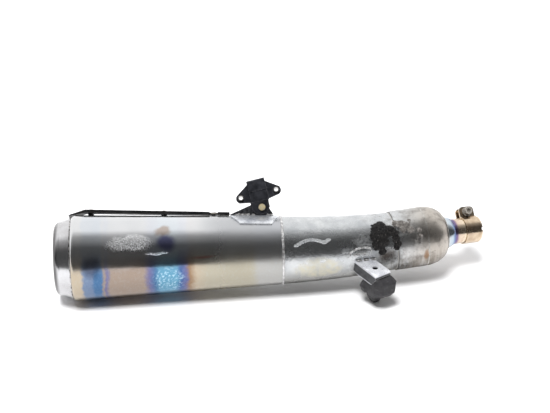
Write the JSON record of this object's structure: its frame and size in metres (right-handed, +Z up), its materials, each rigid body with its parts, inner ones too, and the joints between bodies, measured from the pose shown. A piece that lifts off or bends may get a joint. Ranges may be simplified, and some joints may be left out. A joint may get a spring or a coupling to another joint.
{
  "type": "exhaust muffler",
  "caption": "Tapered motorcycle exhaust muffler with a bent domed front, slotted clamp inlet, rubber-mounted hanger, stop bracket and heat shield.",
  "frame": {"origin": "centre of the inlet sleeve's mouth", "axes": "+X runs along the straight can from the outlet towards the inlet, +Z is up as the muffler lies with its stop on a table, and +Y is the side that the hanger leans to"},
  "size_m": [0.7097, 0.1731, 0.1752],
  "materials": {
    "can_steel": "heat-tinted stainless sheet, fine circumferential graining",
    "cap_steel": "straw-tinted stainless, spun",
    "shell_steel": "bare steel with soot and stains",
    "weld_steel": "rippled weld metal",
    "inlet_steel": "steel tinted straw and blue by heat",
    "inner_steel": "sooty pressed steel",
    "packing": "packed glass wool",
    "clamp_steel": "zinc-plated strip tinted straw by heat",
    "fastener_steel": "plated, dull with heat",
    "yellow_zinc": "yellow passivated zinc",
    "saddle_steel": "bright pressed steel",
    "hanger_black": "satin black paint",
    "sleeve_zinc": "zinc-plated tube",
    "rubber": "moulded black rubber",
    "shield_black": "black paint"
  },
  "bodies": {
    "muffler": {"rear_shell": "can_steel", "rear_cap": "cap_steel", "rear_end_plate": "cap_steel", "outlet_tube": "cap_steel", "middle_shell": "shell_steel", "front_shell": "shell_steel", "front_dome": "shell_steel", "rear_weld": "weld_steel", "middle_weld": "weld_steel", "front_weld": "weld_steel", "dome_weld": "weld_steel", "neck_weld": "weld_steel", "hanger_tab_welds": "weld_steel", "bracket_welds": "weld_steel", "inlet_neck": "inlet_steel", "inlet_sleeve": "inlet_steel", "inlet_pipe": "inner_steel", "front_baffle": "inner_steel", "middle_baffle": "inner_steel", "rear_baffle": "inner_steel", "transfer_tubes": "inner_steel", "perforated_core": "inner_steel", "glass_wool_packing": "packing", "heat_shield_screws": "fastener_steel", "heat_shield_washers": "fastener_steel", "hanger_bolt": "yellow_zinc", "hanger_nut": "yellow_zinc", "heat_shield_bosses": "saddle_steel", "hanger_saddle": "saddle_steel", "hanger_tab": "saddle_steel", "stop_bracket": "saddle_steel", "stop_rubber": "rubber", "heat_shield": "shield_black"},
    "clamp": {"clamp_band": "clamp_steel", "clamp_nut": "fastener_steel"},
    "clamp_washer": {"clamp_washer": "fastener_steel"},
    "clamp_bolt": {"clamp_bolt": "fastener_steel"},
    "hanger": {"hanger_arm": "hanger_black", "hanger_flange": "hanger_black", "hanger_rubber": "rubber", "hanger_ear_sleeves": "sleeve_zinc"}
  },
  "joints": [
    {"name": "clamp_turn", "type": "hinge", "parent": "muffler", "child": "clamp", "pos_m": [0, 0, 0], "axis": [0.9552, 0.2829, -0.0872], "continuous": true},
    {"name": "clamp_bolt_travel", "type": "slide", "parent": "clamp", "child": "clamp_washer", "axis": [0.2599, -0.6605, 0.7044], "range_m": [0, 0.00501]},
    {"name": "clamp_bolt_turn", "type": "hinge", "parent": "clamp_washer", "child": "clamp_bolt", "pos_m": [-0.01994, 0.01585, 0.02222], "axis": [0.2599, -0.6605, 0.7044], "range_deg": [0, 1440]},
    {"name": "hanger_swivel", "type": "hinge", "parent": "muffler", "child": "hanger", "pos_m": [-0.3638, -0.00861, 0.06358], "axis": [0, -0.9063, 0.4226], "range_deg": [-30, 10]}
  ],
  "couplings": [
    {"joint": "clamp_bolt_travel", "follows": "clamp_bolt_turn", "m_per_rad": 0.00019894}
  ]
}
